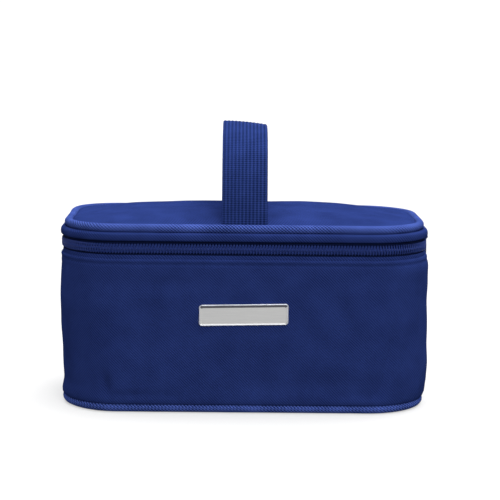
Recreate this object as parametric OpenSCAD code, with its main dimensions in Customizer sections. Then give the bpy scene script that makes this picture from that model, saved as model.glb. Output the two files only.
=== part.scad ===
// Soft insulated lunch box: a fabric bag on a foam core, with a zipped lid that turns back on a fabric
// hinge, a webbing handle running front to back and a blank metal badge. Millimetres, +Z up, front
// towards -Y, origin on the floor under the middle of the bag.

/* [Bag] */
// Width of the bag between its side panels
body_w = 252; // [230:1:290]
// Depth of the bag from front to back
body_d = 126; // [116:1:160]
// Radius of the upright corners, at the outer face
corner_r = 42; // [34:1:44]
// Height of the panels' top edge above the floor
panel_top = 105; // [95:0.5:125]
// Thickness of the outer fabric
fabric_t = 0.8; // [0.6:0.1:0.8]
// Thickness of the foam in the walls
wall_foam_t = 5; // [4:0.5:6]
// Thickness of the foam in the base and in the lid
flat_foam_t = 4; // [3:0.5:4]
// Thickness of the wipe-clean liner
liner_t = 0.5; // [0.4:0.1:0.6]

/* [Piping] */
// Radius of the covered piping at the base and round the lid
pipe_r = 3.2; // [3:0.1:3.3]
// Radius of the cord inside the piping
cord_r = 2.2; // [1.8:0.1:2.3]
// Width of the seam allowance behind the piping
flange_w = 3.3; // [2:0.1:3.3]

/* [Lid] */
// Height of the lid's seam above the zip
lid_rise = 13.2; // [13:0.1:20]
// Height of the crown of the lid above its edge
crown = 10.4; // [6:0.1:14]
// How full the crown is: higher is flatter on top
crown_power = 2.4; // [2:0.1:4]

/* [Zip] */
// Height of the zip's middle above the panels' top edge
zip_rise = 7; // [6.8:0.1:8]
// Width of one row of the coil
coil_w = 2.8; // [2.4:0.1:2.8]
// Gap between the two rows
coil_gap = 1.1; // [1:0.1:1.3]
// Length of the slider along the zip
slider_l = 14; // [12:0.5:16]
// Length of the pull tab
pull_l = 27; // [20:1:32]

/* [Handle] */
// Width of the webbing
strap_w = 30; // [25:1:32]
// Thickness of the webbing
strap_t = 1.4; // [1.2:0.1:1.5]
// Height of the top of the handle above the lid's seam
strap_rise = 68.5; // [55:0.5:90]
// How square the handle's arch is: 2 is an ellipse
strap_power = 2.5; // [2:0.1:3]

/* [Badge] */
// Width of the metal badge
badge_w = 60; // [44:1:70]
// Height of the metal badge
badge_h = 14.4; // [10:0.1:18]
// Thickness of the metal badge
badge_t = 1.6; // [1.2:0.1:2]
// Height of the badge's middle above the floor
badge_z = 68; // [50:1:80]

/* [Hidden] */
$fn = 96;
eps = 0.01;

// Layers, counted inward from the bag's outer face
skin_gap = 0.1;
hem_h = 6;
hem_t = 2 * fabric_t;
tape_in = 1.8;
tape_t = 0.6;
coil_t = 1.4;
foam_in = fabric_t + 0.2;
foam_in_top = tape_in + tape_t + 0.2;
liner_in = foam_in + wall_foam_t + skin_gap;
inner_face = liner_in + liner_t;
binding_t = 0.8;

// Piping
pipe_in = pipe_r + 0.3;
flange_t = 0.7;
flange_slit = 0.2;
flange_end = pipe_in + pipe_r + flange_w;
base_pipe_z = pipe_r;
pipe_top = 2 * pipe_r;

// Base, from the floor up
base_t = 0.9;
base_in = pipe_in + pipe_r + 0.3;
board_z = base_t + skin_gap;
board_t = 1.3;
base_foam_z = base_pipe_z + flange_t + flange_slit;
base_liner_z = base_foam_z + flat_foam_t + skin_gap;
base_binding_h = 6;
wall_z = pipe_top + 0.2;
foam_top = panel_top - 0.5;

// Zip
zip_z = panel_top + zip_rise;
tape_low = panel_top - hem_h;
tape_high = zip_z + 8.3;
gusset_z = zip_z + coil_gap / 2 + coil_w + 1.75;
zip_end_x = body_w / 2 - corner_r - 11;
leaf_gap = 0.5;
stop_l = 2.4;

// Lid
seam_z = zip_z + lid_rise;
gusset_top = seam_z - 2.3;
gusset_t = 1;
gusset_hem_h = 3.5;
dome_in = pipe_in + pipe_r + 2.3;
dome_layer_in = flange_end + 0.4;
dome_edge_z = seam_z + 0.6;
dome_rings = 8;
corner_steps = 7;
lid_foam_z = dome_edge_z - 0.2 - flat_foam_t;
lid_liner_z = lid_foam_z - 0.2 - liner_t;

// Handle
strap_foot_y = body_d / 2 - pipe_in - pipe_r - 0.2 - strap_t / 2;
strap_foot_z = seam_z + flange_t + flange_slit;
strap_peak = seam_z + strap_rise - strap_t / 2 - strap_foot_z;
strap_steps = 48;
lean_r = 16;
lean_gap = 0.3;
lean_z = strap_foot_z + lean_r + 3;

// Slider, which rests at the back of the right-hand side
side_x = body_w / 2;
slider_y = body_d / 2 - corner_r - slider_l / 2 - 1;
plate_t = 1.2;
channel_out = side_x + 0.1;
channel_in = side_x - tape_in - tape_t - 0.4;
slider_half = coil_gap / 2 + coil_w + 1.35;
lip_w = 1.1;
lip_x = side_x - tape_in + 0.4;
bail_r = 0.7;
bail_x = channel_out + plate_t + 2.1;
bail_half = 3;
bail_post_t = 1.4;
knuckle_r = 1.5;
knuckle_clear = 0.08;
pull_t = 1.1;
pull_w = 7;

// Badge
badge_corner = 2;
badge_rim = 1;
badge_recess = 0.35;
badge_stand = 0.05;
post_r = 0.9;
post_x = 20;
backing_t = 0.5;
washer_t = 0.5;
washer_r = 2.4;

// Plan of the bag, moved in from its outer face
module plan(inset) {
  w = body_w - 2 * inset;
  d = body_d - 2 * inset;
  r = corner_r - inset;
  square([w - 2 * r, d], center = true);
  square([w, d - 2 * r], center = true);
  for (x = [-1, 1], y = [-1, 1]) translate([x * (w / 2 - r), y * (d / 2 - r)]) circle(r);
}

// Upright wall that follows the plan
module wall(inset, t, z0, z1)
  translate([0, 0, z0]) linear_extrude(z1 - z0) difference() {
    plan(inset);
    plan(inset + t);
  }

// Flat sheet that fills the plan
module slab(inset, z0, t) translate([0, 0, z0]) linear_extrude(t) plan(inset);

// Sweeps a profile round the plan: its x is outward, its y is up
module sweep(inset) {
  r = corner_r - inset;
  hw = body_w / 2 - corner_r;
  hd = body_d / 2 - corner_r;
  for (c = [[1, 1, 0], [-1, 1, 90], [-1, -1, 180], [1, -1, 270]])
    translate([c[0] * hw, c[1] * hd, 0]) rotate(c[2]) rotate_extrude(angle = 90) translate([r, 0]) children();
  for (s = [[0, hw, hd], [90, hd, hw], [180, hw, hd], [270, hd, hw]])
    rotate(s[0]) translate([s[1] + r, s[2], 0]) rotate([90, 0, 0]) linear_extrude(2 * s[2]) children();
}

// Keeps what lies at the back, within half_x of the middle
module at_back(half_x) intersection() {
  children();
  translate([-half_x, 0, 0]) cube([2 * half_x, body_d, 200]);
}

// Keeps everything but the back within half_x of the middle
module but_back(half_x) difference() {
  children();
  translate([-half_x, 0, -1]) cube([2 * half_x, body_d, 202]);
}

// Piping: fabric folded round a cord, with both edges sewn together behind it
module piping_cover(z) translate([0, 0, z]) sweep(pipe_in) difference() {
  union() {
    circle(pipe_r);
    translate([-pipe_r - flange_w, -flange_t - flange_slit / 2])
      square([pipe_r + flange_w, 2 * flange_t + flange_slit]);
  }
  circle(cord_r + skin_gap);
  translate([-pipe_r - flange_w - 1, -flange_slit / 2]) square([pipe_r + flange_w + 1, flange_slit]);
}

module piping_cord(z) translate([0, 0, z]) sweep(pipe_in) circle(cord_r);

// Outline of the plan as points, for the domed layers of the lid
function plan_points(inset) = [
  for (c = [[1, 1, 0], [-1, 1, 90], [-1, -1, 180], [1, -1, 270]], i = [0:corner_steps])
    let (a = c[2] + 90 * i / corner_steps)
      [
        c[0] * (body_w / 2 - corner_r) + (corner_r - inset) * cos(a),
        c[1] * (body_d / 2 - corner_r) + (corner_r - inset) * sin(a)
      ]
];

function dome_height(s) = crown * (1 - pow(s, crown_power));

// Domed sheet whose lower face starts at height z on its edge
module dome(inset, z, t) {
  edge = plan_points(inset);
  n = len(edge);
  m = dome_rings;
  layer = function (base) [
    for (j = [0:m - 1]) let (s = 1 - j / m) for (p = edge) [p[0] * s, p[1] * s, base + dome_height(s)],
    [0, 0, base + crown]
  ];
  count = m * n + 1;
  upper = [
    for (j = [0:m - 2], i = [0:n - 1]) let (a = j * n + i, b = j * n + (i + 1) % n) each
      [[a, a + n, b + n], [a, b + n, b]],
    for (i = [0:n - 1]) [(m - 1) * n + i, count - 1, (m - 1) * n + (i + 1) % n]
  ];
  lower = [for (f = upper) [f[2] + count, f[1] + count, f[0] + count]];
  rim = [
    for (i = [0:n - 1]) let (j = (i + 1) % n) each [[i, j, j + count], [i, j + count, i + count]]
  ];
  polyhedron(points = concat(layer(z + t), layer(z)), faces = concat(upper, lower, rim));
}

// ---- Bag ----

module front_side_panel() color("royalblue") difference() {
  but_back(zip_end_x + 8) union() {
    wall(0, fabric_t, wall_z, panel_top);
    wall(0, hem_t, tape_low, panel_top);
  }
  badge_posts(post_r + skin_gap);
}

module back_panel() color("royalblue") at_back(zip_end_x + 8 - 0.2) {
  wall(0, fabric_t, wall_z, panel_top);
  wall(0, hem_t, tape_low, panel_top);
}

module base_panel() color("midnightblue") {
  slab(base_in, 0, base_t);
  wall(base_in, base_t, 0, base_pipe_z - flange_t - flange_slit);
}

module base_piping_cover() color("mediumblue") piping_cover(base_pipe_z);

module base_piping_cord() color("white") piping_cord(base_pipe_z);

module base_board() color("gray") slab(base_in + base_t + 0.3, board_z, board_t);

module base_foam() color("gainsboro") slab(inner_face + 0.4, base_foam_z, flat_foam_t);

module base_liner() color("silver") slab(inner_face + 0.2, base_liner_z, liner_t);

module wall_foam() color("gainsboro") difference() {
  union() {
    wall(foam_in, wall_foam_t, wall_z, tape_low - 0.5);
    wall(foam_in_top, foam_in + wall_foam_t - foam_in_top, tape_low - 0.5, foam_top);
  }
  translate([-badge_w / 2, -body_d / 2, badge_z - badge_h / 2])
    cube([badge_w, fabric_t + backing_t + washer_t + 0.6, badge_h]);
}

module wall_liner() color("silver") wall(liner_in, liner_t, wall_z + 0.2, foam_top);

module base_inner_binding() color("navy") {
  z = base_liner_z + liner_t + skin_gap;
  wall(inner_face + skin_gap, binding_t, z, z + base_binding_h);
  wall(inner_face + skin_gap, base_binding_h - 1, z, z + binding_t);
}

module mouth_binding() color("navy") {
  low = foam_top + skin_gap;
  reach = inner_face + skin_gap + binding_t - foam_in_top;
  wall(foam_in_top, reach, low, low + binding_t);
  wall(inner_face + skin_gap, binding_t, foam_top - hem_h, low + binding_t);
}

// ---- Zip ----

module lower_zip_tape() color("navy") but_back(zip_end_x)
  wall(tape_in, tape_t, tape_low, zip_z - coil_gap / 2);

module upper_zip_tape() color("navy") but_back(zip_end_x)
  wall(tape_in, tape_t, zip_z + coil_gap / 2, tape_high);

module coil(z) wall(tape_in - skin_gap - coil_t, coil_t, z, z + coil_w);

module lower_zip_coil() color("darkblue") but_back(zip_end_x + stop_l + 0.2)
  coil(zip_z - coil_gap / 2 - coil_w);

// The lid's row stops short inside the slider, so the lid can lift past the slider's lips
module upper_zip_coil() color("darkblue") difference() {
  but_back(zip_end_x + stop_l + 0.2) coil(zip_z + coil_gap / 2);
  translate([side_x - 10, slider_y - slider_l / 2 - 1, zip_z]) cube([20, slider_l + 2, 10]);
}

// Clips that close the two ends of a row
module stops(z) for (side = [-1, 1])
  translate([side * (zip_end_x + stop_l / 2), body_d / 2 - tape_in + skin_gap + coil_t / 2, z + coil_w / 2])
    cube([stop_l, coil_t, coil_w], center = true);

module lower_zip_stops() color("slategray") stops(zip_z - coil_gap / 2 - coil_w);

module upper_zip_stops() color("slategray") stops(zip_z + coil_gap / 2);

// ---- Hinge: one strip of fabric, drawn as the leaf on each side of its fold ----

module hinge_lower_leaf() color("royalblue") at_back(zip_end_x - 0.3)
  wall(tape_in - skin_gap, fabric_t, tape_low, zip_z - leaf_gap / 2);

module hinge_upper_leaf() color("royalblue") at_back(zip_end_x - 0.3)
  wall(tape_in - skin_gap, fabric_t, zip_z + leaf_gap / 2, gusset_top - 1.1);

// ---- Lid ----

module lid_panel() color("royalblue") dome(dome_in, dome_edge_z + 0.3, gusset_t);

module lid_foam() color("gainsboro") dome(dome_layer_in, lid_foam_z, flat_foam_t);

module lid_liner() color("silver") dome(dome_layer_in, lid_liner_z, liner_t);

module lid_piping_cover() color("mediumblue") piping_cover(seam_z);

module lid_piping_cord() color("white") piping_cord(seam_z);

module lid_gusset() color("royalblue") but_back(zip_end_x) {
  wall(0, gusset_t, gusset_z, gusset_top);
  wall(0, tape_in - skin_gap, gusset_z, gusset_z + gusset_hem_h);
}

module lid_gusset_liner() color("silver")
  wall(foam_in_top, fabric_t, gusset_z + 0.3, gusset_top - 1.2);

module lid_inner_binding() color("navy") {
  start = foam_in_top + fabric_t + skin_gap;
  wall(start, dome_layer_in - 0.2 - start, lid_liner_z - 0.6, lid_liner_z + 0.2);
}

// ---- Handle ----

function arch_point(a) = [
  -strap_foot_y * sign(cos(a)) * pow(abs(cos(a)), 2 / strap_power),
  strap_foot_z + strap_peak * pow(abs(sin(a)), 2 / strap_power)
];

// Angles that start and end at the feet, closer together where the arch turns fastest
function arch_angle(i) = 90 - 90 * cos(180 * i / strap_steps);

function arch_normal(i) =
  let (
    p = arch_point(arch_angle(max(i - 1, 0))),
    q = arch_point(arch_angle(min(i + 1, strap_steps))),
    d = q - p
  ) [-d[1], d[0]] / norm(d);

module whole_strap() {
  outer = [for (i = [0:strap_steps]) arch_point(arch_angle(i)) + arch_normal(i) * strap_t / 2];
  inner = [for (i = [strap_steps:-1:0]) arch_point(arch_angle(i)) - arch_normal(i) * strap_t / 2];
  rotate([90, 0, 90]) linear_extrude(strap_w, center = true) polygon(concat(outer, inner));
}

// Everything above the arc that parts the swinging strap from its sewn ends
module above_lean(r) {
  translate([0, 0, lean_z]) rotate([90, 0, 0]) cylinder(r = r, h = body_d, center = true);
  translate([-strap_w, -body_d / 2, lean_z - sqrt(r * r - strap_w * strap_w / 4)])
    cube([2 * strap_w, body_d, 2 * strap_rise]);
}

module handle_strap() color("royalblue") intersection() {
  whole_strap();
  above_lean(lean_r);
}

module handle_anchor(side) color("royalblue") difference() {
  whole_strap();
  above_lean(lean_r + lean_gap);
  translate([-strap_w, side < 0 ? 0 : -body_d, 0]) cube([2 * strap_w, body_d, 300]);
}

module handle_front_anchor() handle_anchor(-1);

module handle_rear_anchor() handle_anchor(1);

// ---- Slider and pull ----

// Block of the slider between two distances from the middle of the bag and two heights about the zip
module slider_block(x0, x1, y_half, z0, z1)
  translate([x0, slider_y - y_half, zip_z + z0]) cube([x1 - x0, 2 * y_half, z1 - z0]);

module slider_plate(x0) translate([x0, slider_y, zip_z]) rotate([0, 90, 0]) linear_extrude(plate_t) {
  square([2 * slider_half, slider_l - 4], center = true);
  square([2 * slider_half - 4, slider_l], center = true);
  for (u = [-1, 1], v = [-1, 1]) translate([u * (slider_half - 2), v * (slider_l / 2 - 2)]) circle(2);
}

module slider_body() color("darkslateblue") {
  slider_plate(channel_out);
  slider_plate(channel_in - plate_t);
  for (s = [-1, 1])
    slider_block(lip_x, channel_out + eps, slider_l / 2 - 2,
      s < 0 ? -slider_half : slider_half - lip_w, s < 0 ? -slider_half + lip_w : slider_half);
  translate([0, slider_l / 2 - 3.5, 0])
    slider_block(channel_in - eps, channel_out + eps, 2.5, -0.25, 0.25);
}

module slider_bail() color("darkslateblue") {
  translate([bail_x, slider_y, zip_z]) rotate([90, 0, 0])
    cylinder(r = bail_r, h = 2 * bail_half + 1, center = true);
  post_start = channel_out + plate_t + 0.02;
  for (s = [-1, 1])
    translate([post_start, slider_y + s * (bail_half + bail_post_t / 2) - bail_post_t / 2, zip_z - 1.2])
      cube([bail_x + bail_r - post_start, bail_post_t, 2.4]);
}

module pull_tab() color("darkslateblue") difference() {
  union() {
    translate([bail_x, slider_y, zip_z]) rotate([90, 0, 0])
      cylinder(r = knuckle_r, h = 2 * bail_half - 0.6, center = true);
    translate([bail_x - pull_t / 2, slider_y - bail_half + 0.8, zip_z - 6])
      cube([pull_t, 2 * bail_half - 1.6, 5.2]);
    translate([bail_x - pull_t / 2, slider_y - pull_w / 2, zip_z - pull_l + pull_w / 2])
      cube([pull_t, pull_w, pull_l - pull_w / 2 - 5]);
    translate([bail_x - pull_t / 2, slider_y, zip_z - pull_l + pull_w / 2]) rotate([0, 90, 0])
      cylinder(r = pull_w / 2, h = pull_t);
  }
  translate([bail_x, slider_y, zip_z]) rotate([90, 0, 0])
    cylinder(r = bail_r + knuckle_clear, h = 3 * bail_half, center = true);
  translate([bail_x - pull_t, slider_y, zip_z - pull_l + pull_w / 2]) rotate([0, 90, 0])
    cylinder(r = 1.6, h = 2 * pull_t);
}

// ---- Badge ----

module badge_outline(w, h, r) {
  square([w - 2 * r, h], center = true);
  square([w, h - 2 * r], center = true);
  for (x = [-1, 1], y = [-1, 1]) translate([x * (w / 2 - r), y * (h / 2 - r)]) circle(r);
}

// Stands a flat shape up on the front face, in front of it by y0, and t thick towards the front
module on_front(y0, t)
  translate([0, -body_d / 2 - y0, badge_z]) rotate([90, 0, 0]) linear_extrude(t) children();

module badge_posts(r) for (s = [-1, 1])
  translate([s * post_x, -body_d / 2 - badge_stand - 0.1, badge_z]) rotate([-90, 0, 0])
    cylinder(r = r, h = fabric_t + backing_t + washer_t + badge_stand + 0.4);

module badge_plate() color("gainsboro") {
  difference() {
    on_front(badge_stand, badge_t) badge_outline(badge_w, badge_h, badge_corner);
    on_front(badge_stand + badge_t - badge_recess, 1)
      badge_outline(badge_w - 2 * badge_rim, badge_h - 2 * badge_rim, badge_corner - badge_rim);
  }
  badge_posts(post_r);
}

module badge_backing_plate() color("silver") difference() {
  on_front(-fabric_t - skin_gap - backing_t, backing_t) badge_outline(badge_w - 8, badge_h - 5, 2);
  badge_posts(post_r + skin_gap);
}

module badge_washers() color("silver") difference() {
  for (s = [-1, 1])
    on_front(-fabric_t - 2 * skin_gap - backing_t - washer_t, washer_t)
      translate([s * post_x, 0]) circle(washer_r);
  badge_posts(post_r + 0.02);
}

front_side_panel();
back_panel();
base_panel();
base_piping_cover();
base_piping_cord();
base_board();
base_foam();
base_liner();
wall_foam();
wall_liner();
base_inner_binding();
mouth_binding();
lower_zip_tape();
lower_zip_coil();
lower_zip_stops();
hinge_lower_leaf();
badge_plate();
badge_backing_plate();
badge_washers();
lid_panel();
lid_piping_cover();
lid_piping_cord();
lid_foam();
lid_liner();
lid_gusset();
lid_gusset_liner();
lid_inner_binding();
upper_zip_tape();
upper_zip_coil();
upper_zip_stops();
hinge_upper_leaf();
handle_front_anchor();
handle_rear_anchor();
handle_strap();
slider_body();
slider_bail();
pull_tab();
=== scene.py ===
"""The looks of a soft insulated lunch box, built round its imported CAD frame.

Metres, +Z up, front towards -Y.
"""
import math

import bpy
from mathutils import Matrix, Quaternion, Vector, noise


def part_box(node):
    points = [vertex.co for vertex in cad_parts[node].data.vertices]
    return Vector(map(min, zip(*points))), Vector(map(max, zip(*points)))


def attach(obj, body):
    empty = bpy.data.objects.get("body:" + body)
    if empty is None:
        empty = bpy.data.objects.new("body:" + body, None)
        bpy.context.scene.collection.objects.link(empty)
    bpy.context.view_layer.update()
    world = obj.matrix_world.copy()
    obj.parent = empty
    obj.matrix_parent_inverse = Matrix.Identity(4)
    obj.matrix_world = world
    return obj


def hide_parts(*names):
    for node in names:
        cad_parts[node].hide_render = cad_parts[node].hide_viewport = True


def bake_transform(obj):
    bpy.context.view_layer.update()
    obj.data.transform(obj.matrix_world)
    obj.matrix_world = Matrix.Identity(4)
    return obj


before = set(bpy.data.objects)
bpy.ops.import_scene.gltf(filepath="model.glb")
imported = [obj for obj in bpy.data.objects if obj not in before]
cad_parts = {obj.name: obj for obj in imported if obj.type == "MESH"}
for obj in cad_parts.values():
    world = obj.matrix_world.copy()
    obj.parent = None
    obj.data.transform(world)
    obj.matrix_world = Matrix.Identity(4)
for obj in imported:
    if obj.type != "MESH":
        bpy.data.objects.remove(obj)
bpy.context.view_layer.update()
MM = 0.001

# ---- Driving sizes, from the frame ----

shell_low, shell_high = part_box("front_side_panel")
HALF_W, HALF_D = shell_high.x, shell_high.y
PANEL_LOW, PANEL_TOP = shell_low.z, shell_high.z
CORNER_R = 42 * MM
CORE_W, CORE_D = HALF_W - CORNER_R, HALF_D - CORNER_R
ARC = CORNER_R * math.pi / 2
PERIMETER = 4 * (CORE_W + CORE_D + ARC)

pipe_low, pipe_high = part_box("lid_piping_cover")
PIPE_R = (pipe_high.z - pipe_low.z) / 2
SEAM_Z = (pipe_high.z + pipe_low.z) / 2
PIPE_IN = HALF_W - pipe_high.x + PIPE_R
BASE_SEAM_Z = PIPE_R

ZIP_END = CORE_W - 11 * MM
COIL_LOW, COIL_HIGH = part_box("lower_zip_coil")[0].z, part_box("upper_zip_coil")[1].z
ZIP_Z = (COIL_LOW + COIL_HIGH) / 2
TAPE_LOW, TAPE_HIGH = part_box("lower_zip_tape")[0].z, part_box("upper_zip_tape")[1].z
GUSSET_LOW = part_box("lid_gusset")[0].z
TAPE_IN = 1.8 * MM
FABRIC = 0.8 * MM
HEM = 2 * FABRIC


# ---- Plan of the bag ----

def plan(s, inset=0.0):
    """Point and normal at distance s round the outer face, from the back's middle towards -X."""
    s %= PERIMETER
    runs = [
        (CORE_W, (0, CORE_D), (-1, 0), 90),
        (ARC, (-CORE_W, CORE_D), None, 90),
        (2 * CORE_D, (-CORE_W, CORE_D), (0, -1), 180),
        (ARC, (-CORE_W, -CORE_D), None, 180),
        (2 * CORE_W, (-CORE_W, -CORE_D), (1, 0), 270),
        (ARC, (CORE_W, -CORE_D), None, 270),
        (2 * CORE_D, (CORE_W, -CORE_D), (0, 1), 0),
        (ARC, (CORE_W, CORE_D), None, 0),
        (CORE_W, (CORE_W, CORE_D), (-1, 0), 90),
    ]
    for length, (x, y), way, facing in runs:
        if s <= length:
            break
        s -= length
    turn = math.radians(facing)
    if way is None:
        turn += s / CORNER_R
    else:
        x, y = x + way[0] * s, y + way[1] * s
    normal = Vector((math.cos(turn), math.sin(turn), 0))
    return Vector((x, y, 0)) + normal * (CORNER_R - inset), normal


def stretch(start, end, step):
    """Evenly spaced distances from start to end, about step apart."""
    count = max(2, round((end - start) / step))
    return [start + (end - start) * i / count for i in range(count + 1)]


BACK_HALF = ZIP_END + 8 * MM          # half the back panel's width
ALL_ROUND = stretch(0, PERIMETER, 2.4 * MM)[:-1]
WRAP = stretch(BACK_HALF, PERIMETER - BACK_HALF, 2.0 * MM)
ZIP_RUN = stretch(ZIP_END, PERIMETER - ZIP_END, 2.4 * MM)


# ---- Mesh making ----

def make(name, points, faces, uvs, material, smooth=True):
    """A mesh piece with a cloth map in metres, which the weaves follow."""
    mesh = bpy.data.meshes.new(name)
    mesh.from_pydata([tuple(p) for p in points], [], faces)
    layer = mesh.uv_layers.new(name="cloth")
    flat = [xy for face in uvs for corner in face for xy in corner]
    layer.data.foreach_set("uv", flat)
    mesh.materials.append(material)
    mesh.polygons.foreach_set("use_smooth", [smooth] * len(mesh.polygons))
    mesh.validate()
    piece = bpy.data.objects.new(name, mesh)
    bpy.context.scene.collection.objects.link(piece)
    return piece


def grid(name, rows, material, closed_rows=False, closed_columns=True, capped=False):
    """A skin over rows of points. Columns close each row on itself; rows may close on each other."""
    count, width = len(rows), len(rows[0])
    points = [p for row in rows for p in row]
    along = [0.0]
    for a, b in zip(rows, rows[1:] + rows[:1]):
        along.append(along[-1] + sum((p - q).length for p, q in zip(a, b)) / width)
    middle = rows[count // 2]
    across = [0.0]
    for p, q in zip(middle, middle[1:] + middle[:1]):
        across.append(across[-1] + (p - q).length)
    faces, uvs = [], []
    for i in range(count if closed_rows else count - 1):
        k = (i + 1) % count
        for j in range(width if closed_columns else width - 1):
            n = (j + 1) % width
            faces.append((i * width + j, k * width + j, k * width + n, i * width + n))
            low, high = along[i], along[i + 1]
            left, right = across[j], across[j + 1]
            uvs.append(((low, left), (high, left), (high, right), (low, right)))
    if capped:
        last = (count - 1) * width
        faces.append(tuple(range(width)))
        uvs.append(tuple((0.0, across[j]) for j in range(width)))
        faces.append(tuple(last + j for j in reversed(range(width))))
        uvs.append(tuple((along[-1], across[j]) for j in reversed(range(width))))
    return make(name, points, faces, uvs, material)


def still(s, z, inset=0.0):
    """No shift from the plan."""
    return 0.0


def sweep(name, profile, distances, material, shift=still, closed=False):
    """A closed profile of (inset, height) points swept round the plan."""
    rows = []
    for s in distances:
        row = []
        for inset, z in profile:
            point, normal = plan(s, inset)
            row.append(point + normal * shift(s, z, inset) + Vector((0, 0, z)))
        rows.append(row)
    return grid(name, rows, material, closed_rows=closed, capped=not closed)


def band(inset, thick, low, high, step=2 * MM):
    """Profile of an upright strip with softly rounded edges."""
    r = thick / 2
    bends = (math.pi / 4, math.pi / 2, 3 * math.pi / 4)
    outer = [(inset, z) for z in stretch(low + r, high - r, step)]
    top = [(inset + r - r * math.cos(a), high - r + r * math.sin(a)) for a in bends]
    inner = [(inset + thick, z) for z in reversed(stretch(low + r, high - r, step))]
    base = [(inset + r + r * math.cos(a), low + r - r * math.sin(a)) for a in bends]
    return outer + top + inner + base


def ring(inset, z, radius, sides=20):
    """Profile of a round cord."""
    turns = [2 * math.pi * i / sides for i in range(sides)]
    return [(inset - radius * math.cos(a), z + radius * math.sin(a)) for a in turns]


def skin(line, thick):
    """Profile of a sheet that follows a line of (inset, height) points, thick on its inner side."""
    inner = []
    for i, (inset, z) in enumerate(line):
        before, after = line[max(i - 1, 0)], line[min(i + 1, len(line) - 1)]
        along = Vector((after[0] - before[0], after[1] - before[1])).normalized()
        inner.append((inset + along.y * thick, z - along.x * thick))
    return list(line) + inner[::-1]


def wander(s, z, size, seed=0.0):
    """Smooth noise from -1 to 1 that meets itself after one turn of the plan."""
    point, _ = plan(s)
    return noise.noise(Vector((point.x / size + seed, point.y / size, z / size)))


# ---- Materials ----

def material(name, colour, roughness, metallic=0.0, sheen=0.0, coat=0.0, specular=0.5):
    """A node material with its even values set on the shader itself."""
    made = bpy.data.materials.new(name)
    made.use_nodes = True
    shader = made.node_tree.nodes["Principled BSDF"]
    shader.inputs["Base Color"].default_value = (*colour, 1)
    shader.inputs["Roughness"].default_value = roughness
    shader.inputs["Metallic"].default_value = metallic
    shader.inputs["Sheen Weight"].default_value = sheen
    shader.inputs["Sheen Roughness"].default_value = 0.45
    shader.inputs["Sheen Tint"].default_value = (0.2, 0.35, 1.0, 1)
    shader.inputs["Coat Weight"].default_value = coat
    shader.inputs["Specular IOR Level"].default_value = specular
    return made


def node(made, kind, links=(), **values):
    """Adds a node; links are (input, socket) pairs."""
    added = made.node_tree.nodes.new(kind)
    for key, value in values.items():
        setattr(added, key, value)
    for where, source in links:
        if isinstance(source, (int, float, tuple)):
            added.inputs[where].default_value = source
        else:
            made.node_tree.links.new(source, added.inputs[where])
    return added


def maths(made, operation, *values):
    return node(made, "ShaderNodeMath", enumerate(values), operation=operation).outputs[0]


def cloth_axes(made):
    """The two directions of the cloth, in metres."""
    where = node(made, "ShaderNodeUVMap", uv_map="cloth")
    parts = node(made, "ShaderNodeSeparateXYZ", [(0, where.outputs["UV"])])
    return parts.outputs[0], parts.outputs[1]


def ripple(made, value, pitch):
    """A smooth 0 to 1 ripple of that pitch along value."""
    wave = maths(made, "SINE", maths(made, "MULTIPLY", value, 2 * math.pi / pitch))
    return maths(made, "MULTIPLY_ADD", wave, 0.5, 0.5)


def place_noise(made, scale, detail=3.0):
    """Noise fixed to the object, so it doesn't follow the cloth."""
    where = node(made, "ShaderNodeTexCoord")
    inputs = [("Vector", where.outputs["Object"]), ("Scale", scale), ("Detail", detail)]
    return node(made, "ShaderNodeTexNoise", inputs).outputs["Fac"]


def finish_material(made, height, colours, share, depth, roughness=None):
    """Colour between two tones by share, and a bump from height."""
    shader = made.node_tree.nodes["Principled BSDF"]
    tone = node(made, "ShaderNodeMix", data_type="RGBA")
    made.node_tree.links.new(share, tone.inputs["Factor"])
    tone.inputs[6].default_value = (*colours[0], 1)
    tone.inputs[7].default_value = (*colours[1], 1)
    made.node_tree.links.new(tone.outputs[2], shader.inputs["Base Color"])
    bump = node(made, "ShaderNodeBump", [("Height", height), ("Distance", depth), ("Strength", 1.0)])
    made.node_tree.links.new(bump.outputs[0], shader.inputs["Normal"])
    if roughness is not None:
        made.node_tree.links.new(roughness, shader.inputs["Roughness"])
    return made


def twill(name, dark, light, pitch, depth, sheen=0.01, cross=0.5, contrast=1.3):
    """Diagonal twill: ribs of yarn at 45 degrees, each broken into short floats."""
    made = material(name, dark, 0.95, sheen=sheen, specular=0.0)
    u, v = cloth_axes(made)
    drift = maths(made, "MULTIPLY", place_noise(made, 160.0), pitch * 0.5)
    rib = ripple(made, maths(made, "ADD", maths(made, "ADD", u, v), drift), pitch)
    floats = ripple(made, maths(made, "SUBTRACT", u, v), pitch * cross)
    yarn = maths(made, "MULTIPLY", floats, 0.4)
    height = maths(made, "ADD", rib, yarn)
    patch = maths(made, "MULTIPLY", place_noise(made, 60.0), 0.5)
    tone = maths(made, "ADD", maths(made, "MULTIPLY", height, 0.55), patch)
    share = maths(made, "SUBTRACT", maths(made, "MULTIPLY", tone, contrast), 0.62 * contrast - 0.5)
    return finish_material(made, height, (dark, light), share, depth)


def ribbed(name, dark, light, rib, weft, depth):
    """Ribs across the cloth's width, bound by a finer weft."""
    made = material(name, dark, 0.9, sheen=0.01, specular=0.01)
    u, v = cloth_axes(made)
    cross = ripple(made, u, weft)
    warp = ripple(made, v, rib)
    height = maths(made, "ADD", warp, maths(made, "MULTIPLY", cross, 0.8))
    patch = maths(made, "MULTIPLY", place_noise(made, 90.0), 0.5)
    tone = maths(made, "ADD", maths(made, "MULTIPLY", height, 0.5), patch)
    share = maths(made, "SUBTRACT", tone, 0.2)
    return finish_material(made, height, (dark, light), share, depth)


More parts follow.
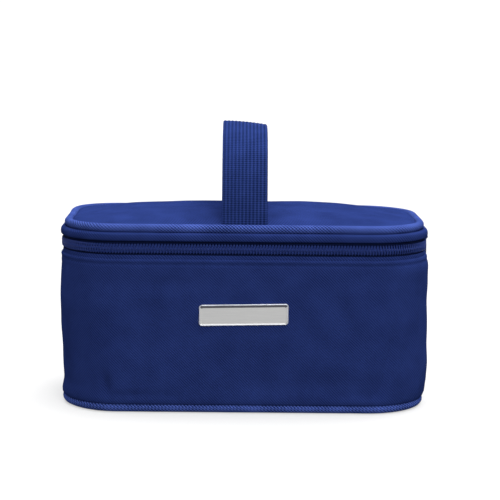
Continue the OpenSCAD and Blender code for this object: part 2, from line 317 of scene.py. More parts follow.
def grained(name, dark, light, scale, depth, roughness, metallic=0.0, coat=0.0):
    """Colour and surface that vary with noise at one scale."""
    made = material(name, light, roughness, metallic=metallic, coat=coat, specular=0.15)
    grain = place_noise(made, scale, 4.0)
    return finish_material(made, grain, (dark, light), grain, depth)


NAVY_DARK, NAVY_LIGHT = (0.006, 0.011, 0.054), (0.026, 0.049, 0.212)
SHELL = twill("shell_twill", NAVY_DARK, NAVY_LIGHT, 1.9 * MM, 0.14 * MM, contrast=1.0)
LID_TWILL = twill("lid_twill", NAVY_DARK, NAVY_LIGHT, 2.0 * MM, 0.10 * MM)
PIPE_DARK, PIPE_LIGHT = (0.004, 0.010, 0.055), (0.075, 0.125, 0.46)
PIPING = twill(
    "piping_twill", PIPE_DARK, PIPE_LIGHT, 2.3 * MM, 0.25 * MM, sheen=0.02, cross=1.0, contrast=1.4
)
WEBBING = ribbed("webbing_weave", (0.005, 0.012, 0.052), (0.026, 0.050, 0.215), 2.5 * MM, 1.5 * MM, 0.2 * MM)
TAPE = ribbed("zip_tape_weave", (0.002, 0.004, 0.018), (0.007, 0.013, 0.055), 1.2 * MM, 0.8 * MM, 0.08 * MM)
BINDING = ribbed("binding_weave", (0.004, 0.009, 0.042), (0.014, 0.028, 0.12), 1.4 * MM, 0.9 * MM, 0.10 * MM)
THREAD = ribbed("thread_twist", (0.008, 0.018, 0.08), (0.026, 0.050, 0.21), 0.3 * MM, 0.6 * MM, 0.04 * MM)
COIL = grained("coil_nylon", (0.010, 0.022, 0.12), (0.024, 0.050, 0.24), 900.0, 0.02 * MM, 0.45)
LINER = grained("liner_film", (0.50, 0.51, 0.53), (0.70, 0.71, 0.73), 55.0, 0.5 * MM, 0.32)
FOAM = grained("foam_cells", (0.62, 0.62, 0.60), (0.84, 0.84, 0.82), 700.0, 0.3 * MM, 0.9)
CORD = grained("piping_core", (0.60, 0.60, 0.58), (0.82, 0.82, 0.80), 400.0, 0.1 * MM, 0.6)
BOARD = grained("stiffener_board", (0.16, 0.16, 0.17), (0.26, 0.26, 0.28), 500.0, 0.1 * MM, 0.7)
ZIP_METAL = grained(
    "zip_enamel", (0.004, 0.011, 0.06), (0.008, 0.022, 0.12), 260.0, 0.02 * MM, 0.3, metallic=0.25, coat=0.4
)
STEEL = grained("backing_steel", (0.48, 0.48, 0.50), (0.66, 0.66, 0.68), 600.0, 0.02 * MM, 0.38, metallic=1.0)


def brushed(name, dark, light):
    """Satin metal, rubbed along X."""
    made = material(name, light, 0.42, metallic=1.0)
    where = node(made, "ShaderNodeTexCoord")
    drawn_out = [("Vector", where.outputs["Object"]), ("Scale", (60.0, 900.0, 2600.0))]
    stretched = node(made, "ShaderNodeMapping", drawn_out)
    fine = [("Vector", stretched.outputs[0]), ("Scale", 1.0), ("Detail", 2.0)]
    grain = node(made, "ShaderNodeTexNoise", fine).outputs["Fac"]
    rough = node(made, "ShaderNodeMapRange", [("Value", grain), ("To Min", 0.36), ("To Max", 0.5)])
    return finish_material(made, grain, (dark, light), grain, 0.004 * MM, rough.outputs[0])


BADGE = brushed("badge_satin", (0.36, 0.36, 0.36), (0.45, 0.45, 0.447))
# A lighter, bluer copy of the plate's metal: a painted highlight along the rim
BADGE_RIM_PAINTED_HIGHLIGHT = brushed("badge_rim", (0.62, 0.64, 0.70), (0.74, 0.76, 0.83))
# A dark copy of the plate's metal: painted shade along the top of the inner bevel
BADGE_BEVEL_PAINTED_SHADE = brushed("badge_bevel_painted_shade", (0.05, 0.05, 0.06), (0.10, 0.10, 0.11))


# ---- Soft walls ----

# How the bag has settled, in mm outward at each height in mm, on its left and on its right
SETTLED = {
    -1: [(0, -1.9), (35, -1.9), (58, -1.3), (78, -0.3), (96, -0.5), (110, -0.1)],
    1: [(0, 1.3), (25, 0.7), (45, -0.5), (70, -0.6), (88, 0.4), (100, 1.3), (110, 1.0)],
}


def settled(side, z):
    """The settled shape between its listed heights, in metres."""
    points = SETTLED[side]
    for (low, a), (high, b) in zip(points, points[1:]):
        if z <= high * MM:
            share = min(max((z / MM - low) / (high - low), 0), 1)
            return (a + (b - a) * share * share * (3 - 2 * share)) * MM
    return points[-1][1] * MM


def bell(value, centre, width):
    return math.exp(-(((value - centre) / width) ** 2))


FRONT_LEFT = CORE_W + 2 * ARC + 2 * CORE_D      # where the front's flat part starts and ends
FRONT_RIGHT = PERIMETER - FRONT_LEFT
FRONT = PERIMETER / 2
# Dents and folds in the walls: distance round in metres, then height, half length, half height and
# depth in mm, and slant
DENTS = [
    (FRONT_LEFT - 9 * MM, 19, 3.2, 9, -2.4, 0.15),
    (FRONT_LEFT + 12 * MM, 11.5, 24, 2.6, -1.5, 0.0),
    (FRONT_LEFT + 2 * MM, 8.0, 18, 1.8, 0.8, 0.0),
    (FRONT_LEFT - 26 * MM, 50, 6, 26, -1.2, -0.2),
    (FRONT_RIGHT + 12 * MM, 28, 4, 22, -1.8, -0.2),
    (FRONT_RIGHT - 6 * MM, 12, 20, 3, -1.1, 0.0),
    (FRONT_RIGHT + 30 * MM, 58, 6, 24, -1.2, 0.2),
    (FRONT - 55 * MM, 88, 34, 5, -0.8, 0.0),
    (FRONT + 55 * MM, 20, 38, 7, -0.8, 0.0),
    (FRONT + 66 * MM, 70, 7, 26, -0.7, 0.5),
]


STITCH_Z = PANEL_TOP - 3.4 * MM       # the row of stitches along the hem


def fade(value, full, none):
    """1 up to full, then smoothly down to 0 at none."""
    t = min(max((none - value) / (none - full), 0), 1)
    return t * t * (3 - 2 * t)


badge_low, badge_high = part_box("badge_plate")


def behind_badge(s, z):
    """1 where the wall is drawn flat against the badge's back."""
    aside = abs(s - FRONT)
    above = abs(z - (badge_low.z + badge_high.z) / 2)
    return fade(aside, badge_high.x + 2 * MM, badge_high.x + 26 * MM) * fade(above, 9 * MM, 24 * MM)


def wall_shift(s, z, inset=0.0):
    """How far the soft wall stands out of its plan: fullest at mid height, held at both seams."""
    up = min(max((z - PANEL_LOW) / (PANEL_TOP - PANEL_LOW), 0), 1)
    _, normal = plan(s)
    held = min(1, up / 0.10, (1 - up) / 0.08)
    full = math.sin(math.pi * up) ** 0.7
    sides = 0.3 + 2.1 * abs(normal.x)
    out = sides * full * MM + settled(1 if normal.x > 0 else -1, z) * abs(normal.x) * held
    out += held * (0.9 * wander(s, z, 55 * MM) + 0.35 * wander(s, z, 20 * MM, 7.0)) * MM
    for at, height, long, tall, depth, lean in DENTS:
        along = bell(s + lean * (z - height * MM), at, long * MM)
        out += held * depth * MM * along * bell(z, height * MM, tall * MM)
    pucker = bell(z, PANEL_LOW + 3 * MM, 4 * MM) * 0.35 * MM
    out += pucker * math.sin(2 * math.pi * s / (7.5 * MM) + 3 * wander(s, z, 30 * MM))
    out -= 0.35 * MM * bell(z, STITCH_Z, 1.0 * MM) - 0.2 * MM * bell(z, PANEL_TOP - 1.6 * MM, 1.2 * MM)
    return out * (1 - behind_badge(s, z)) - 0.04 * MM * behind_badge(s, z)


def wall_profile():
    """Fabric from the base seam up to the hem, folded over and down inside."""
    low, top = PANEL_LOW, PANEL_TOP
    foot = [(2.0, -0.5), (1.2, -1.0), (0.6, -0.9), (0.15, 0.0), (0.0, 2.4), (0.0, 4.4)]
    outer = [(inset * MM, low + rise * MM) for inset, rise in foot]
    outer += [(0, z) for z in stretch(low + 6.5 * MM, top - 6 * MM, 2.0 * MM)]
    outer += [(0, z) for z in stretch(top - 5.5 * MM, top - HEM / 2, 0.6 * MM)]
    r = HEM / 2
    fold = [(r - r * math.cos(a), top - r + r * math.sin(a)) for a in (0.8, math.pi / 2, 2.34)]
    inside = [(HEM, top - r), (HEM, top - 5.4 * MM), (FABRIC, top - 6.0 * MM)]
    back = [(FABRIC, z) for z in reversed(stretch(low + 6.5 * MM, top - 9 * MM, 4 * MM))]
    back += [(inset * MM + FABRIC, low + rise * MM + 0.5 * MM) for inset, rise in reversed(foot[3:])]
    return outer + fold + inside + back


def outer_panels():
    wrap = sweep("front_and_sides", wall_profile(), WRAP, SHELL, wall_shift)
    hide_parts("front_side_panel")
    back = stretch(-BACK_HALF + 0.2 * MM, BACK_HALF - 0.2 * MM, 2.0 * MM)
    rear = sweep("rear_panel", wall_profile(), back, SHELL, wall_shift)
    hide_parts("back_panel")
    for piece in (wrap, rear):
        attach(piece, "body")


FOAM_LOW, FOAM_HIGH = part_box("wall_foam")
FOAM_IN = HALF_W - FOAM_HIGH.x


def padding_shift(s, z, inset=0.0):
    """The foam follows the outer fabric on its outer face and stays put on its inner one."""
    share = min(max((inset - FOAM_IN) / (5 * MM), 0), 1)
    return wall_shift(s, z) * (1 - share)


def padding():
    slab = band(FOAM_IN + 0.1 * MM, 4.7 * MM, FOAM_LOW.z, TAPE_LOW - 0.5 * MM, 4 * MM)
    foam = sweep("wall_padding", slab, ALL_ROUND, FOAM, padding_shift, closed=True)
    upper = band(TAPE_IN + 0.9 * MM, 3.0 * MM, TAPE_LOW - 1.2 * MM, FOAM_HIGH.z, 2.4 * MM)
    lip = sweep("wall_padding_top", upper, ALL_ROUND, FOAM, closed=True)
    piece = join("wall_padding", [foam, lip])
    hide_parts("wall_foam")
    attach(piece, "body")


def gusset_shift(s, z, inset=0.0):
    drawn = min(max((z - GUSSET_LOW) / (SEAM_Z - GUSSET_LOW), 0), 1) ** 1.5
    puff = (0.9 + 0.35 * wander(s, z, 26 * MM, 3.0)) * MM
    return drawn * lid_shift(s) + puff * bell(z, (GUSSET_LOW + SEAM_Z) / 2 - 1 * MM, 3.2 * MM)


def gusset():
    top = SEAM_Z - 2.4 * MM
    r = 0.8 * MM
    line = [(TAPE_IN - 0.15 * MM, GUSSET_LOW + 2.6 * MM), (TAPE_IN - 0.2 * MM, GUSSET_LOW + r)]
    line += [(r - r * math.cos(a), GUSSET_LOW + r - r * math.sin(a)) for a in (2.3, math.pi / 2, 0.8)]
    line += [(0, z) for z in stretch(GUSSET_LOW + r, top - 1.2 * MM, 0.5 * MM)]
    line += [(0.5 * MM, top - 0.3 * MM), (1.6 * MM, top), (3.0 * MM, top + 0.1 * MM)]
    piece = sweep("lid_band", skin(line, 0.7 * MM), ZIP_RUN, LID_TWILL, gusset_shift)
    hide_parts("lid_gusset")
    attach(piece, "lid")


def piping(name, node_name, body, z, radius, seed, drawn=lambda s: 0.0):
    """A covered cord: the fabric tube, and the cord inside it, along the same seam."""
    def shift(s, z, inset):
        return drawn(s) + (0.22 * wander(s, 0, 24 * MM, seed) + 0.10 * wander(s, 0, 7 * MM, seed)) * MM

    run = stretch(0, PERIMETER, 1.6 * MM)[:-1]
    cover = sweep(name, ring(PIPE_IN, z, radius), run, PIPING, shift, closed=True)
    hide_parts(node_name + "_cover")
    cord = sweep(name + "_core", ring(PIPE_IN, z, radius - 0.9 * MM, 12), run[::2], CORD, shift, closed=True)
    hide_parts(node_name + "_cord")
    for piece in (cover, cord):
        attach(piece, body)


# ---- Lid ----

BACK_LEFT, BACK_RIGHT = CORE_W + ARC / 2, PERIMETER - CORE_W - ARC / 2


def lid_shift(s):
    """The lid's ends are drawn in; its left back corner stands out and its right one is pulled in."""
    s %= PERIMETER
    _, normal = plan(s)
    out = -1.5 * abs(normal.x) ** 3
    out += 4.5 * bell(s, BACK_LEFT, 24 * MM) - 1.0 * bell(s, BACK_RIGHT, 26 * MM)
    return out * MM


def crown_height(x, y, half_x, half_y):
    """Share of the crown's height over a point of the lid: full in the middle, nought at its edge."""
    across = 1 - min(abs(x) / half_x, 1) ** 2.8
    along = 1 - min(abs(y) / half_y, 1) ** 2.2
    return across ** 0.75 * along ** 0.8


def dome(name, inset, edge_z, crown, thick, material, wrinkle, rings=30, shift=lambda s: 0.0):
    """A closed domed sheet inside the plan, with its edge at edge_z."""
    distances = stretch(0, PERIMETER, 2.6 * MM)[:-1]
    edge = [plan(s, inset)[0] + plan(s)[1] * shift(s) for s in distances]
    half_x, half_y = HALF_W - inset, HALF_D - inset

    def layer(drop):
        rows = []
        for i in range(rings + 1):
            share = 1 - (i / rings) ** 1.15 * 0.985
            row = []
            for p in edge:
                x, y = p.x * share, p.y * share
                rise = crown * crown_height(x, y, half_x * 1.002, half_y * 1.002)
                held = min(1.0, (1 - share) / 0.12)
                row.append(Vector((x, y, edge_z - drop + rise + held * wrinkle(x, y))))
            rows.append(row)
        return rows

    upper, lower = layer(0), layer(thick)
    rows = lower[::-1] + upper
    width, count = len(edge), len(rows)
    points = [p for row in rows for p in row]
    faces = []
    for i in range(count - 1):
        for j in range(width):
            n = (j + 1) % width
            faces.append((i * width + j, i * width + n, (i + 1) * width + n, (i + 1) * width + j))
    faces.append(tuple(range(width))[::-1])
    faces.append(tuple((count - 1) * width + j for j in range(width)))
    uvs = [tuple((points[v].x, points[v].y) for v in face) for face in faces]
    return make(name, points, faces, uvs, material)


# Creases in the lid: middle, half length, half width and depth in mm, and heading in degrees
CREASES = [
    ((-88, 16), 24, 3.2, -2.0, 10),
    ((-78, 30), 30, 3.4, -1.8, 16),
    ((-62, -12), 36, 4.4, -1.4, 5),
    ((-40, 6), 30, 4.0, -1.1, -6),
    ((84, 24), 24, 3.4, -1.4, -14),
    ((66, -22), 34, 4.4, -1.1, 6),
]


def lid_wrinkle(x, y):
    value = 0.75 * noise.noise(Vector((x / 0.045, y / 0.03, 1.7)))
    value += 0.2 * noise.noise(Vector((x / 0.016, y / 0.016, 5)))
    for (cx, cy), long, wide, depth, heading in CREASES:
        turn = math.radians(heading)
        dx, dy = x - cx * MM, y - cy * MM
        along = dx * math.cos(turn) + dy * math.sin(turn)
        over = -dx * math.sin(turn) + dy * math.cos(turn)
        value += depth * bell(along, 0, long * MM) * bell(over, 0, wide * MM)
    return value * MM


def film_wrinkle(x, y):
    """The film lies close under the foam, and dips away from it in places."""
    fine = noise.noise(Vector((x / 0.012, y / 0.012, 9)))
    return (0.3 * noise.noise(Vector((x / 0.03, y / 0.03, 2))) + 0.15 * fine - 0.5) * MM


def level(x, y):
    """No wrinkle."""
    return 0.0


LID_CROWN = 9.0 * MM                  # the lid's inner layers, a little flatter than its top


def lid():
    low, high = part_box("lid_panel")
    inset = HALF_W - high.x - 2.6 * MM
    crown = high.z - low.z - 1.3 * MM
    top = dome(
        "lid_top", inset, low.z + 0.1 * MM, crown, 0.9 * MM, LID_TWILL, lid_wrinkle, rings=56, shift=lid_shift
    )
    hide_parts("lid_panel")
    low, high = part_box("lid_foam")
    inset = HALF_W - high.x
    foam = dome("lid_padding", inset, low.z + 3.8 * MM, LID_CROWN, 3.6 * MM, FOAM, level, rings=16)
    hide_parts("lid_foam")
    low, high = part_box("lid_liner")
    film = dome("lid_lining", inset, low.z + 0.4 * MM, LID_CROWN, 0.4 * MM, LINER, film_wrinkle)
    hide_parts("lid_liner")
    low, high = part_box("lid_gusset_liner")
    upright = band(HALF_W - high.x, 0.7 * MM, low.z, high.z)
    band_film = sweep("lid_side_lining", upright, ALL_ROUND, LINER, closed=True)
    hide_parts("lid_gusset_liner")
    low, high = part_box("lid_inner_binding")
    tape = tape_profile(HALF_W - high.x, 6.6 * MM, low.z, high.z)
    bound = sweep("lid_seam_binding", tape, ALL_ROUND, BINDING, closed=True)
    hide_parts("lid_inner_binding")
    for piece in (top, foam, film, band_film, bound):
        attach(piece, "lid")


def tape_profile(inset, wide, low, high):
    """Profile of a flat tape that lies level, with rounded edges."""
    r = (high - low) / 2
    bends = (0, 0.8, 1.57, 2.34, math.pi)
    outer = [(inset + r - r * math.sin(a), low + r - r * math.cos(a)) for a in bends]
    return outer + [(inset + wide - r + r * math.sin(a), low + r + r * math.cos(a)) for a in bends]


# ---- Zip ----

PITCH = 2.0 * MM
WIRE_R = 0.45 * MM


def tube(path, radius, sides=6):
    """Rows of points round a path."""
    rows = []
    for i, p in enumerate(path):
        along = (path[min(i + 1, len(path) - 1)] - path[max(i - 1, 0)]).normalized()
        side = along.cross(Vector((0, 0, 1)))
        side = side.normalized() if side.length > 1e-6 else Vector((1, 0, 0))
        up = side.cross(along)
        turns = [2 * math.pi * k / sides for k in range(sides)]
        rows.append([p + (side * math.cos(a) + up * math.sin(a)) * radius for a in turns])
    return rows


def coil_row(name, replaced, body, edge_z, head_z, phase, gap=None):
    """One row of the coil: a filament wound flat, whose loops reach in between the other row's."""
    start, end = ZIP_END + 3 * MM, PERIMETER - ZIP_END - 3 * MM
    turns = int((end - start) / PITCH)
    front, depth, steps = 0.5 * MM, 1.0 * MM, 12
    runs, path = [], []
    for i in range(turns * steps):
        turn = i / steps
        part = turn % 1
        run = 1.6 * part if part < 0.5 else 0.8 + 0.4 * (part - 0.5)
        s = start + (turn - part + run + phase) * PITCH
        a = 2 * math.pi * turn
        share = 0.5 - 0.5 * math.cos(a)
        z = edge_z + (head_z - edge_z) * share
        inset = front + depth * (0.5 + 0.5 * math.sin(a))
        point, _ = plan(s, inset)
        if gap and gap[0] < s < gap[1]:
            if path:
                runs.append(path)
            path = []
            continue
        path.append(point + Vector((0, 0, z)))
    runs.append(path)
    wires = [grid(f"{name}_{k}", tube(run, WIRE_R), COIL, capped=True) for k, run in enumerate(runs)]
    piece = join(name, wires)
    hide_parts(replaced)
    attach(piece, body)


def join(name, parts):
    """Makes several new meshes into one piece."""
    bpy.ops.object.select_all(action="DESELECT")
    for part in parts:
        part.select_set(True)
    bpy.context.view_layer.objects.active = parts[0]
    if len(parts) > 1:
        bpy.ops.object.join()
    parts[0].name = name
    return parts[0]


def stitches(name, body, places, long, radius, shift=still):
    """A row of sewn stitches. places are (distance round, inset, height), each the middle of one stitch."""
    points, faces, uvs = [], [], []
    sides, shares = 6, (0.25, 0.8, 1.0, 0.8, 0.25)
    spans = len(shares) - 1
    for s, inset, z in places:
        first = len(points)
        for i, share in enumerate(shares):
            at = s + long * (i / spans - 0.5)
            centre, normal = plan(at, inset)
            centre = centre + normal * (shift(at, z) + 0.25 * radius * share) + Vector((0, 0, z))
            for k in range(sides):
                a = 2 * math.pi * k / sides
                points.append(centre + (normal * math.cos(a) + Vector((0, 0, math.sin(a)))) * radius * share)
        for i in range(spans):
            for k in range(sides):
                n = (k + 1) % sides
                a, b = first + i * sides, first + (i + 1) * sides
                faces.append((a + k, b + k, b + n, a + n))
                low, high = s + long * i / spans, s + long * (i + 1) / spans
                left, right = k * radius, (k + 1) * radius
                uvs.append(((low, left), (high, left), (high, right), (low, right)))
        start = tuple(first + k for k in range(sides))
        end = tuple(first + spans * sides + k for k in reversed(range(sides)))
        for cap in (start, end):
            faces.append(cap)
            uvs.append(tuple((0.0, 0.0) for _ in cap))
    piece = make(name, points, faces, uvs, THREAD)
    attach(piece, body)
    return piece


def zip_parts():
    slider_low, slider_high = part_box("slider_body")
    slider_s = FRONT + CORE_W + ARC + CORE_D + (slider_low.y + slider_high.y) / 2
    gap = (slider_s - 8 * MM, slider_s + 8 * MM)      # where the upper row stops short at the slider
    reach = 0.45 * MM
    coil_row("coil_below", "lower_zip_coil", "body", COIL_LOW + WIRE_R, ZIP_Z + reach, 0.0)
    coil_row("coil_above", "upper_zip_coil", "lid", COIL_HIGH - WIRE_R, ZIP_Z - reach, 0.5, gap)
    tapes = [
        ("tape_below", "lower_zip_tape", "body", TAPE_LOW, ZIP_Z - 0.6 * MM),
        ("tape_above", "upper_zip_tape", "lid", ZIP_Z + 0.6 * MM, TAPE_HIGH),
    ]
    for name, replaced, body, low, high in tapes:
        tape = sweep(name, band(TAPE_IN + 0.1 * MM, 0.5 * MM, low, high), ZIP_RUN, TAPE)
        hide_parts(replaced)
        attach(tape, body)
    sewn = stretch(ZIP_END + 4 * MM, PERIMETER - ZIP_END - 4 * MM, PITCH)
    below = [(s, 0.35 * MM, COIL_LOW + 1.15 * MM) for s in sewn]
    above = [(s, 0.35 * MM, COIL_HIGH - 1.15 * MM) for s in sewn if not gap[0] < s < gap[1]]
    stitches("coil_stitches_below", "body", below, 1.5 * MM, 0.16 * MM)
    stitches("coil_stitches_above", "lid", above, 1.5 * MM, 0.16 * MM)


def lip():
    """The shell's folded edge that shows between the panels' hem and the coil."""
    edge = band(TAPE_IN - 0.75 * MM, 0.7 * MM, PANEL_TOP - 4 * MM, PANEL_TOP + 2.6 * MM, 1.2 * MM)
    piece = sweep("zip_lip", edge, ZIP_RUN, LID_TWILL)
    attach(piece, "body")


def topstitching():
    hem = [(s, 0.0, STITCH_Z) for s in stretch(BACK_HALF + 2 * MM, PERIMETER - BACK_HALF - 2 * MM, 3.2 * MM)]
    stitches("hem_stitches", "body", hem, 2.6 * MM, 0.2 * MM, wall_shift)
    rear = [(s, 0.0, STITCH_Z) for s in stretch(-BACK_HALF + 3 * MM, BACK_HALF - 3 * MM, 3.2 * MM)]
    stitches("rear_hem_stitches", "body", rear, 2.6 * MM, 0.2 * MM, wall_shift)


# ---- Hinge strip ----

def hinge():
    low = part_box("hinge_lower_leaf")[0]
    inset = HALF_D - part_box("hinge_upper_leaf")[1].y
    run = stretch(-ZIP_END + 0.3 * MM, ZIP_END - 0.3 * MM, 2.4 * MM)
    top = SEAM_Z - PIPE_R + 1.4 * MM
    strip = sweep("hinge_strip", band(inset, FABRIC, low.z, top, 0.7 * MM), run, SHELL)
    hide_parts("hinge_lower_leaf", "hinge_upper_leaf")
    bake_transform(strip)


# ---- Handle ----

STRAP_POWER = 2.5


def handle():
    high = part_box("handle_strap")[1]
    foot_low, foot_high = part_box("handle_front_anchor")
    foot_y = (foot_low.y + foot_high.y) / 2
    half, thick = high.x * 1.02, foot_high.y - foot_low.y
    foot_z, rise = foot_low.z, high.z - thick / 2 - foot_low.z
    steps, ribs, per_rib = 110, 12, 6
    rows = []

    def arch(turn):
        c, s = math.cos(turn), math.sin(turn)
        flat = math.copysign(abs(c) ** (2 / STRAP_POWER), c)
        return Vector((0, foot_y * flat, foot_z + rise * abs(s) ** (2 / STRAP_POWER)))

    for i in range(steps + 1):
        turn = math.pi * (0.5 - 0.5 * math.cos(math.pi * i / steps))
        near = math.pi * (0.5 - 0.5 * math.cos(math.pi * max(i - 1, 0) / steps))
        far = math.pi * (0.5 - 0.5 * math.cos(math.pi * min(i + 1, steps) / steps))
        centre = arch(turn)
        along = (arch(far) - arch(near)).normalized()
        out = Vector((0, -along.z, along.y))
        crest = bell(turn, math.pi / 2, 0.55)
        row = []
        count = ribs * per_rib
        for face in (1, -1):
            for k in range(count + 1):
                x = half * (2 * k / count - 1) * face
                edge = 1 - min(1, (half - abs(x)) / (0.9 * MM))
                groove = 0.5 + 0.5 * math.cos(2 * math.pi * k / per_rib)
                swell = thick / 2 * (1 - 0.55 * edge ** 2) - 0.26 * MM * groove
                sag = 2.6 * MM * crest * ((x / half + 1) / 2) ** 2
                row.append(centre + Vector((x, 0, -sag)) + out * swell * face)
        rows.append(row)
    strap = grid("carry_strap", rows, WEBBING, capped=True)
    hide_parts("handle_strap", "handle_front_anchor", "handle_rear_anchor")
    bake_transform(strap)


# ---- Badge ----

BADGE_TILT = math.tan(math.radians(1.2))      # it is riveted on slightly askew


def badge():
    low, high = badge_low, badge_high
    half_x, z_mid, half_z = high.x, (low.z + high.z) / 2, (high.z - low.z) / 2
    front = low.y
    back = -HALF_D - 0.1 * MM
    radius, sides = 2.0 * MM, 8
    # Each ring is how far it lies in from the edge, and how far behind the rim's front. The ring given
    # twice keeps a crisp line in the shading between the rim's front and the bevel inside it.
    rings = [
        (0.3, (back - front) / MM), (0.0, 1.0), (0.0, 0.45), (0.12, 0.15), (0.4, 0.0),
        (0.4, 0.0), (0.7, 0.3), (2.2, 0.32),
    ]
    last_rim = len(rings) - 3       # the bands up to this one are the rim, and the next is the inner bevel
    rows = []
    for inset, behind in rings:
        r = max(radius - inset * MM, 0.4 * MM)
        row = []
        for cx, cz, first in ((1, 1, 0), (-1, 1, 90), (-1, -1, 180), (1, -1, 270)):
            for i in range(sides + 1):
                a = math.radians(first + 90 * i / sides)
                x = cx * (half_x - inset * MM - r) + r * math.cos(a)
                z = cz * (half_z - inset * MM - r) + r * math.sin(a)
                row.append(Vector((x, front + behind * MM, z_mid + z + x * BADGE_TILT)))
        rows.append(row)
    plate = grid("badge", rows, BADGE, capped=True)
    plate.data.materials.append(BADGE_RIM_PAINTED_HIGHLIGHT)
    plate.data.materials.append(BADGE_BEVEL_PAINTED_SHADE)
    width = len(rows[0])
    for face in plate.data.polygons:
        step = face.index // width
        # The rim's bands get the painted highlight
        if step <= last_rim:
            face.material_index = 1
        # Painted shade on the inner bevel's upper run; the rest of the bevel keeps the plate's metal
        elif step == last_rim + 1:
            face.material_index = 2 if face.center.z > z_mid + 0.6 * half_z else 0
    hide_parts("badge_plate")
    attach(plate, "body")


# ---- Inside and underneath ----

def lining_shift(s, z, inset=0.0):
    return (0.5 * wander(s, z, 34 * MM, 11.0) + 0.22 * wander(s, z, 11 * MM, 13.0)) * MM


def floor_wrinkle(x, y):
    return 0.6 * MM + film_wrinkle(x, y)


def lining():
    low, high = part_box("wall_liner")
    inset = HALF_W - high.x
    film = band(inset + 0.3 * MM, 0.4 * MM, low.z, high.z, 2.4 * MM)
    walls = sweep("cavity_lining", film, ALL_ROUND, LINER, lining_shift, closed=True)
    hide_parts("wall_liner")
    low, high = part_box("base_liner")
    floor_film = dome("floor_lining", HALF_W - high.x, low.z + 0.4 * MM, 0.0, 0.4 * MM, LINER, floor_wrinkle)
    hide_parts("base_liner")
    for piece in (walls, floor_film):
        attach(piece, "body")
    low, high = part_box("mouth_binding")
    inset = HALF_W - high.x
    over = ((0, 0.9), (0.2, 0.3), (0.8, 0.0), (4.6, 0.0), (5.2, 0.3), (5.4, 0.9))
    line = [(inset + x * MM, high.z - z * MM) for x, z in over]
    line += [(inset + 5.4 * MM, z) for z in stretch(low.z, high.z - 2 * MM, 1.2 * MM)[::-1]]
    mouth = sweep("mouth_tape", skin(line, 0.7 * MM), ALL_ROUND, BINDING, closed=True)
    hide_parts("mouth_binding")
    low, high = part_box("base_inner_binding")
    tape = band(HALF_W - high.x, 0.8 * MM, low.z, high.z, 1.2 * MM)
    bound = sweep("floor_seam_tape", tape, ALL_ROUND, BINDING, closed=True)
    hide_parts("base_inner_binding")
    for piece in (mouth, bound):
        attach(piece, "body")


def underside():
    low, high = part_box("base_panel")
    under = dome("under_panel", HALF_W - high.x, low.z + 0.9 * MM, 0.0, 0.9 * MM, SHELL, level, rings=8)
    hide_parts("base_panel")
    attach(under, "body")


# ---- Hard and hidden CAD nodes keep their shape and get a material ----

CAD_LOOKS = {
    "base_foam": FOAM,
    "base_board": BOARD,
    "badge_backing_plate": STEEL, "badge_washers": STEEL,
    "lower_zip_stops": ZIP_METAL, "upper_zip_stops": ZIP_METAL,
    "slider_body": ZIP_METAL, "slider_bail": ZIP_METAL, "pull_tab": ZIP_METAL,
}
# How far each of these has its edges rounded, in mm
ROUNDED = {
    "lower_zip_stops": 0.3, "upper_zip_stops": 0.3,
    "slider_body": 0.35, "slider_bail": 0.3, "pull_tab": 0.3,
}


def cad_looks():
    for name, look in CAD_LOOKS.items():
        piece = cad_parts[name]
        piece.data.materials.clear()
        piece.data.materials.append(look)
        if name in ROUNDED:
            edges = piece.modifiers.new("worn_edges", "BEVEL")
            edges.width = ROUNDED[name] * MM
            edges.segments = 3
            edges.limit_method = "ANGLE"


# ---- Studio ----

def camera():
    away, yaw, pitch, roll = 1050 * MM, math.radians(0.4), math.radians(8.35), math.radians(0.6)
    aside, height = 4.2 * MM, 266 * MM
    reach = away + HALF_D
    c, s = math.cos(yaw), math.sin(yaw)
    data = bpy.data.cameras.new("camera")
    data.sensor_width = 36
    data.lens = 1593 / 500 * data.sensor_width
    view = bpy.data.objects.new("camera", data)
    bpy.context.scene.collection.objects.link(view)
    view.location = (aside * c - reach * s, -aside * s - reach * c, height)
    look = Vector((s * math.cos(pitch), c * math.cos(pitch), -math.sin(pitch)))
    view.rotation_mode = "QUATERNION"
    view.rotation_quaternion = look.to_track_quat("-Z", "Y") @ Quaternion((0, 0, 1), roll)
    bpy.context.scene.camera = view


def lamp(name, place, aim, size, power):
    data = bpy.data.lights.new(name, "AREA")
    data.shape = "RECTANGLE"
    data.size, data.size_y = size
    data.energy = power
    light = bpy.data.objects.new(name, data)
    light.location = place
    light.rotation_mode = "QUATERNION"
    light.rotation_quaternion = (Vector(aim) - Vector(place)).to_track_quat("-Z", "Y")
    bpy.context.scene.collection.objects.link(light)


FLOOR_Z = -0.3 * MM                   # just clear of the base, so the two never share a plane


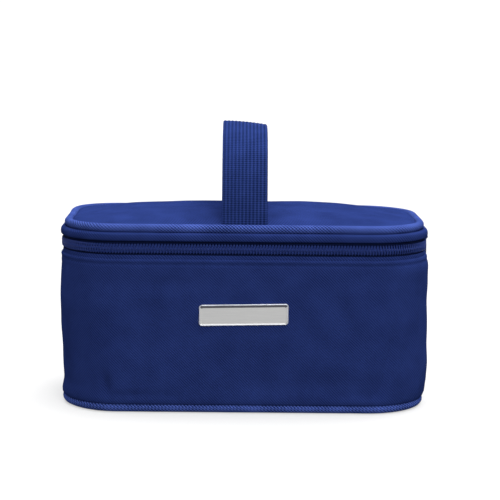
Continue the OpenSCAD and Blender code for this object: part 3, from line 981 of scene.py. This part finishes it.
def pale_floor():
    """A plain white table that glows a little, as a lit acrylic one does."""
    pale = material("studio_floor", (0.35, 0.35, 0.35), 0.9, specular=0.0)
    shader = pale.node_tree.nodes["Principled BSDF"]
    shader.inputs["Emission Color"].default_value = (1, 1, 1, 1)
    shader.inputs["Emission Strength"].default_value = 0.5
    corners = [Vector((x * 30, y * 30, FLOOR_Z)) for x, y in ((-1, -1), (1, -1), (1, 1), (-1, 1))]
    uvs = [((0, 0), (1, 0), (1, 1), (0, 1))]
    floor = make("studio_floor", corners, [(0, 1, 2, 3)], uvs, pale, smooth=False)
    floor.visible_diffuse = False      # it doesn't light the cloth from below


def white_horizon():
    """Surroundings that are white round the horizon, and dim above and below it."""
    world = bpy.data.worlds.new("studio")
    world.use_nodes = True
    tree = world.node_tree
    where = tree.nodes.new("ShaderNodeTexCoord")
    parts = tree.nodes.new("ShaderNodeSeparateXYZ")
    height = tree.nodes.new("ShaderNodeMapRange")
    for name, value in (("From Min", 0.09), ("From Max", 0.24), ("To Min", 1.1), ("To Max", 0.15)):
        height.inputs[name].default_value = value
    away = tree.nodes.new("ShaderNodeMath")
    away.operation = "SUBTRACT"
    away.inputs[1].default_value = 0.03
    size = tree.nodes.new("ShaderNodeMath")
    size.operation = "ABSOLUTE"
    tree.links.new(where.outputs["Generated"], parts.inputs[0])
    tree.links.new(parts.outputs["Z"], away.inputs[0])
    tree.links.new(away.outputs[0], size.inputs[0])
    tree.links.new(size.outputs[0], height.inputs["Value"])
    background = tree.nodes["Background"]
    background.inputs["Color"].default_value = (1, 1, 1, 1)
    tree.links.new(height.outputs[0], background.inputs["Strength"])
    bpy.context.scene.world = world


def studio():
    pale_floor()
    white_horizon()
    bpy.context.scene.view_settings.view_transform = "Standard"
    overhead = bpy.data.lights.new("overhead_panel", "SUN")
    overhead.energy = 5.15
    overhead.angle = math.radians(65)
    panel = bpy.data.objects.new("overhead_panel", overhead)
    panel.rotation_euler = (math.radians(-8), math.radians(8), 0)
    bpy.context.scene.collection.objects.link(panel)
    lamp("left_rim", (-1.3, 0.5, 0.5), (-0.1, 0, 0.08), (0.3, 0.9), 3)
    lamp("front_fill", (0.35, -1.5, 1.0), (0, 0, 0.06), (0.8, 0.6), 15.5)


camera()
outer_panels()
padding()
piping("base_edge", "base_piping", "body", BASE_SEAM_Z, PIPE_R, 2.0)
piping("lid_edge", "lid_piping", "lid", SEAM_Z + 0.2 * MM, PIPE_R - 0.3 * MM, 4.0, lid_shift)
gusset()
lid()
zip_parts()
lip()
topstitching()
hinge()
handle()
badge()
lining()
underside()
cad_looks()
studio()
